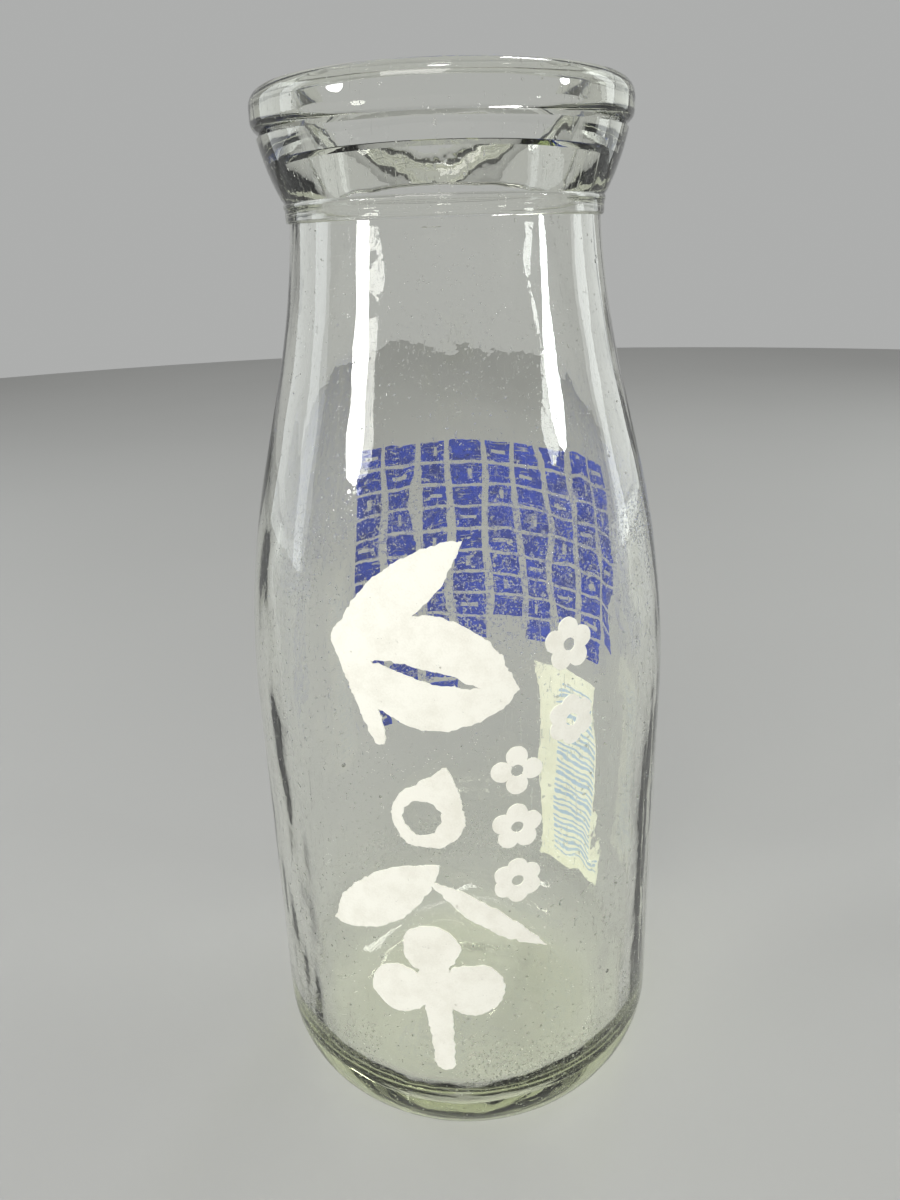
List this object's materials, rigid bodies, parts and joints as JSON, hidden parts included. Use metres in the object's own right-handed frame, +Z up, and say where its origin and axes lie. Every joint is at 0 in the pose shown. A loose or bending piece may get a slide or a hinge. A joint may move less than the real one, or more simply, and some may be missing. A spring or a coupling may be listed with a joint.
{
  "type": "glass milk bottle",
  "caption": "Small returnable milk bottle in thick moulded glass with a beaded lip, tapered collar, long shoulder, round heel and fired enamel prints.",
  "frame": {"origin": "on the bottle's axis, in the plane of the ring it stands on", "axes": "+Z up the axis to the mouth, -Y out of the middle of the front print, +X to the right of that print"},
  "size_m": [0.057, 0.0574, 0.138],
  "materials": {
    "clear_glass": "gloss",
    "white_enamel": "satin",
    "blue_enamel": "satin",
    "pale_blue_enamel": "satin"
  },
  "bodies": {
    "root": {"glass_bottle": "clear_glass", "leaf_print": "white_enamel", "drop_print": "white_enamel", "clover_print": "white_enamel", "blossom_print_1": "white_enamel", "blossom_print_2": "white_enamel", "blossom_print_3": "white_enamel", "blossom_print_4": "white_enamel", "blossom_print_5": "white_enamel", "back_tiles_print": "blue_enamel", "panel_print": "white_enamel", "panel_bars": "pale_blue_enamel"}
  },
  "joints": []
}
